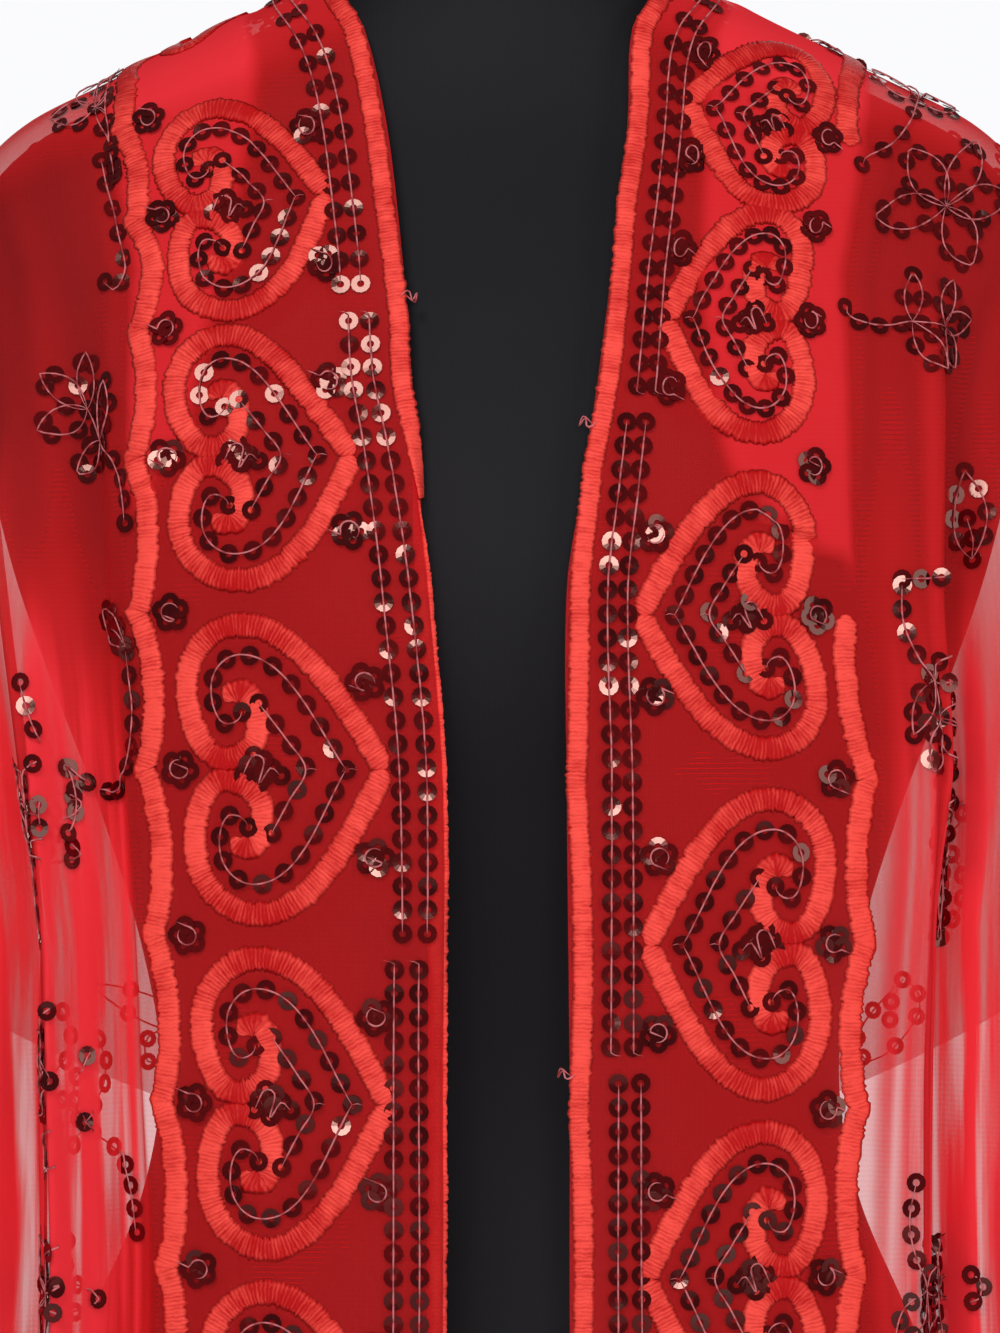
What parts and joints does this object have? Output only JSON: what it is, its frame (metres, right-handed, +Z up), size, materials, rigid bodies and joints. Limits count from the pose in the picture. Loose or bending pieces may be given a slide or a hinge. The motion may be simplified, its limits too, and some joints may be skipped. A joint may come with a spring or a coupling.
{
  "type": "evening stole on a dress form",
  "caption": "Rectangular tulle stole worn open over the shoulders of a limbless dress form on a round base, both ends hanging in gathers at the front.",
  "frame": {"origin": "middle of the outline on the floor, under the round base", "axes": "+Z up along the pole, -Y to the front where the stole is open, +X to the right as seen from the front"},
  "size_m": [0.5246, 0.33, 1.4283],
  "materials": {
    "tulle": "sheer red polyester net, matt",
    "satin_edging": "satin stitch in bright rayon thread",
    "sequins": "dark red pressed film, mirror bright where it catches the light",
    "form_cover": "black stretch jersey with a faint sheen",
    "stand_steel": "black powder coat"
  },
  "bodies": {
    "root": {"stole_front_left": "tulle", "stole_front_right": "tulle", "stole_back": "tulle", "edging_front_left": "satin_edging", "edging_front_right": "satin_edging", "edging_back": "satin_edging", "form_torso": "form_cover", "form_cap": "form_cover", "form_pole": "stand_steel", "form_collar": "stand_steel", "form_socket": "stand_steel", "form_base": "stand_steel"}
  },
  "joints": []
}
